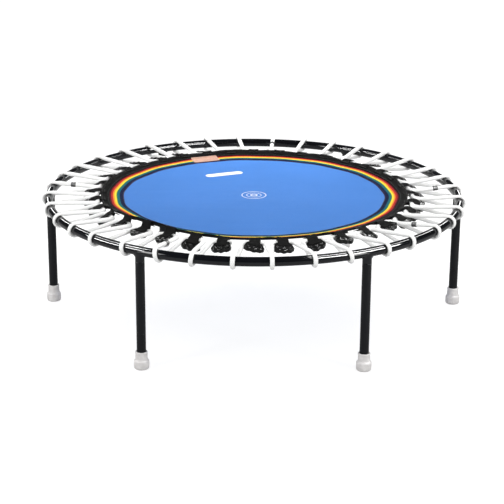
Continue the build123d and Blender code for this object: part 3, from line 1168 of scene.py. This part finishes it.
def build_crimps():
    """Pressed metal sleeve on each join, half way along the upper strand."""
    half, edge = 7 * MM, 0.5 * MM
    outer, bore = ROPE_R + 1.05 * MM, ROPE_R + 0.02 * MM
    for number, k in enumerate(ROPE_JOINS):
        corners = wrap_corners(k)
        run = (corners[2] - corners[1]).normalized()
        centre = corners[1].lerp(corners[2], 0.5)
        profile = [(bore, -half), (outer - edge, -half), (outer, edge - half)]
        for t in steps(-0.85, 0.85, 21):
            dent = 0.75 * MM * max(0, cos(t * pi * 2.35)) ** 3
            profile.append((outer - dent, t * half))
        profile += [(outer, half - edge), (outer - edge, half), (bore, half)]
        shape = lathe(profile, 40, closed=True)
        place = Matrix.Translation(centre) @ run.to_track_quat("Z", "Y").to_matrix().to_4x4()
        shape.points = [tuple(place @ Vector(p)) for p in shape.points]
        piece = shape.build(f"rope_crimp_{number + 1}", CRIMP_METAL)
        across_joint(piece, "rope_crimps")


# ---- setting

def build_floor():
    look = Look("pale_floor")
    base = look.mottle(3, 3, grey(0.93), grey(0.96))
    seen = look.node("LightPath").outputs["Is Camera Ray"]
    material = look.done(
        look.mix(0.7, base, grey(0.0)),
        0.8,
        look.bump(look.noise(80, 3), 0.0002, 0.1),
        Specular_IOR_Level=0.0,
        Emission_Color=base,
        Emission_Strength=look.spread(seen, 0.25, 0.86, 0, 1),
    )
    shape = Shape()
    line = (-14, 0, 14)
    shape.grid([[(x, y, 0.0) for y in line] for x in line])
    floor = shape.build("floor", material)
    floor.location.z = -0.2 * MM


def add_bar(name, start, end, width, power, glossy=True, diffuse=True):
    """A bar lamp between two points, facing the middle of the trampoline."""
    start, end = Vector(start), Vector(end)
    spot = (start + end) / 2
    light = bpy.data.lights.new(name, "AREA")
    light.shape = "RECTANGLE"
    light.size, light.size_y = width, (end - start).length
    light.energy = power
    lamp = link(name, light)
    along = (end - start).normalized()
    back = spot - UP * RING_Z
    back = (back - along * back.dot(along)).normalized()
    turn = Matrix((along.cross(back), along, back)).transposed().to_4x4()
    lamp.matrix_world = Matrix.Translation(spot) @ turn
    lamp.visible_glossy = glossy
    lamp.visible_diffuse = diffuse


def build_lights():
    """White surroundings that reflections see as dim, so that only the lamps draw highlights."""
    world = bpy.data.worlds.new("studio")
    world.use_nodes = True
    tree = world.node_tree
    background = tree.nodes["Background"]
    background.inputs["Color"].default_value = (1, 1, 1, 1)
    rays = tree.nodes.new("ShaderNodeLightPath")
    soft, dim, white = 0.86, 0.07, 1.0
    glossy, seen = (tree.nodes.new("ShaderNodeMix") for _ in range(2))
    glossy.inputs["A"].default_value = soft
    glossy.inputs["B"].default_value = dim
    seen.inputs["B"].default_value = white
    tree.links.new(rays.outputs["Is Glossy Ray"], glossy.inputs["Factor"])
    tree.links.new(rays.outputs["Is Camera Ray"], seen.inputs["Factor"])
    tree.links.new(glossy.outputs["Result"], seen.inputs["A"])
    tree.links.new(seen.outputs["Result"], background.inputs["Strength"])
    bpy.context.scene.world = world
    add_bar("backdrop_soft", (-0.7, 1.3, 1.1), (0.7, 1.3, 1.1), 0.5, 26, glossy=False)
    for side, word in ((-1, "left"), (1, "right")):
        bend = (side * 1.39, 1.62, 1.4)
        add_bar(f"{word}_back_streak", (side * 1.38, 0.27, 1.9), bend, 0.1, 18, diffuse=False)
        add_bar(f"{word}_low_streak", bend, (side * 1.13, 2.2, 0.7), 0.2, 7, diffuse=False)
        add_bar(f"{word}_front_fill", (side * 2.0, -1.7, 0.3), (side * 2.0, -1.7, 1.8), 0.4, 22)
    add_bar("right_high_streak", (0.62, -0.42, 2.27), (1.38, 0.27, 1.9), 0.12, 50, diffuse=False)
    add_bar("right_front_streak", (1.05, -1.8, 1.62), (2.15, -0.48, 1.27), 0.2, 170, diffuse=False)
    add_bar("left_high_streak", (-1.14, -0.06, 2.09), (-1.38, 0.27, 1.9), 0.1, 22, diffuse=False)
    add_bar("left_front_streak", (-1.83, -1.25, 1.38), (-2.29, -0.01, 1.03), 0.12, 70, diffuse=False)


def build_camera():
    """Camera in front, far back with a long lens, looking a little down."""
    distance = 7.75 * RING_R
    elevation, pitch = radians(16.755), radians(18.831)
    yaw, roll = radians(-0.058), radians(0.396)
    spot = Vector((0, -distance * cos(elevation), RING_Z + distance * sin(elevation)))
    data = bpy.data.cameras.new("camera")
    data.lens = 112.6
    data.clip_end = 60
    camera = link("camera", data)
    place = Matrix.Translation(spot)
    camera.matrix_world = turned(place, (-yaw, "Z"), (pi / 2 - pitch, "X"), (roll, "Z"))
    bpy.context.scene.camera = camera


build_ring()
build_sockets()
for leg in LEGS:
    build_leg(leg)
    build_stud(leg)
    build_foot(leg)
    # These two stay as their CAD solids, inside the socket and the foot.
    for node in (f"socket_nut_{leg}", f"foot_washer_{leg}"):
        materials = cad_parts[node].data.materials
        materials.clear()
        materials.append(STEEL)
build_mat()
build_ribbon()
build_border()
build_rim_stitching()
build_label()
build_print()
build_cleats()
build_loops()
build_rope()
build_crimps()
build_floor()
build_lights()
build_camera()
bpy.context.scene.view_settings.view_transform = "Standard"

bpy.context.view_layer.update()
